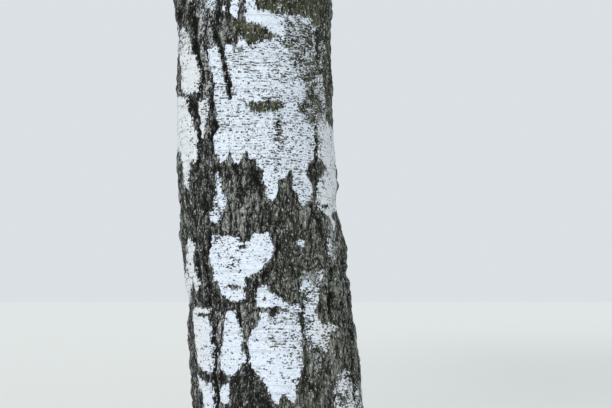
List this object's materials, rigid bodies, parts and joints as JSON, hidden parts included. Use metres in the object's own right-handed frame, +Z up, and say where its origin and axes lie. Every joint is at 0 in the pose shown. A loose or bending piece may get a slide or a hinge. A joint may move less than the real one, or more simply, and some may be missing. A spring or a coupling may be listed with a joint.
{
  "type": "birch tree",
  "caption": "Mature silver birch: a leaning white-barked trunk with rugged dark bark and a root flare, rising boughs and hanging masses of fresh green leaves.",
  "frame": {"origin": "centre of the flat cut under the trunk, at ground level", "axes": "+Z up along the trunk; the face seen in the picture looks along -Y, and the trunk leans towards -X"},
  "size_m": [7.5492, 8.0692, 18.8638],
  "materials": {
    "birch_bark": "papery white outer bark with rugged dark fissured bark",
    "bough_bark": "smooth thin bark with fine pores",
    "foliage": "thin fresh green leaves on dark twigs"
  },
  "bodies": {
    "root": {"trunk": "birch_bark", "bough_01": "bough_bark", "bough_02": "bough_bark", "bough_03": "bough_bark", "bough_04": "bough_bark", "bough_05": "bough_bark", "bough_06": "bough_bark", "bough_07": "bough_bark", "bough_08": "bough_bark", "bough_09": "bough_bark", "bough_10": "bough_bark", "bough_11": "bough_bark", "bough_12": "bough_bark", "bough_13": "bough_bark", "bough_14": "bough_bark", "bough_15": "bough_bark", "bough_16": "bough_bark", "bough_17": "bough_bark", "bough_18": "bough_bark", "bough_19": "bough_bark", "bough_20": "bough_bark", "bough_21": "bough_bark", "bough_22": "bough_bark", "bough_23": "bough_bark", "bough_24": "bough_bark", "bough_25": "bough_bark", "foliage_01": "foliage", "foliage_02": "foliage", "foliage_03": "foliage", "foliage_04": "foliage", "foliage_05": "foliage", "foliage_06": "foliage", "foliage_07": "foliage", "foliage_08": "foliage", "foliage_09": "foliage", "foliage_10": "foliage", "foliage_11": "foliage", "foliage_12": "foliage", "foliage_13": "foliage", "foliage_14": "foliage", "foliage_15": "foliage", "foliage_16": "foliage", "foliage_17": "foliage", "foliage_18": "foliage", "foliage_19": "foliage", "foliage_20": "foliage", "foliage_21": "foliage", "foliage_22": "foliage", "foliage_23": "foliage", "foliage_24": "foliage", "foliage_25": "foliage", "foliage_top": "foliage"}
  },
  "joints": []
}
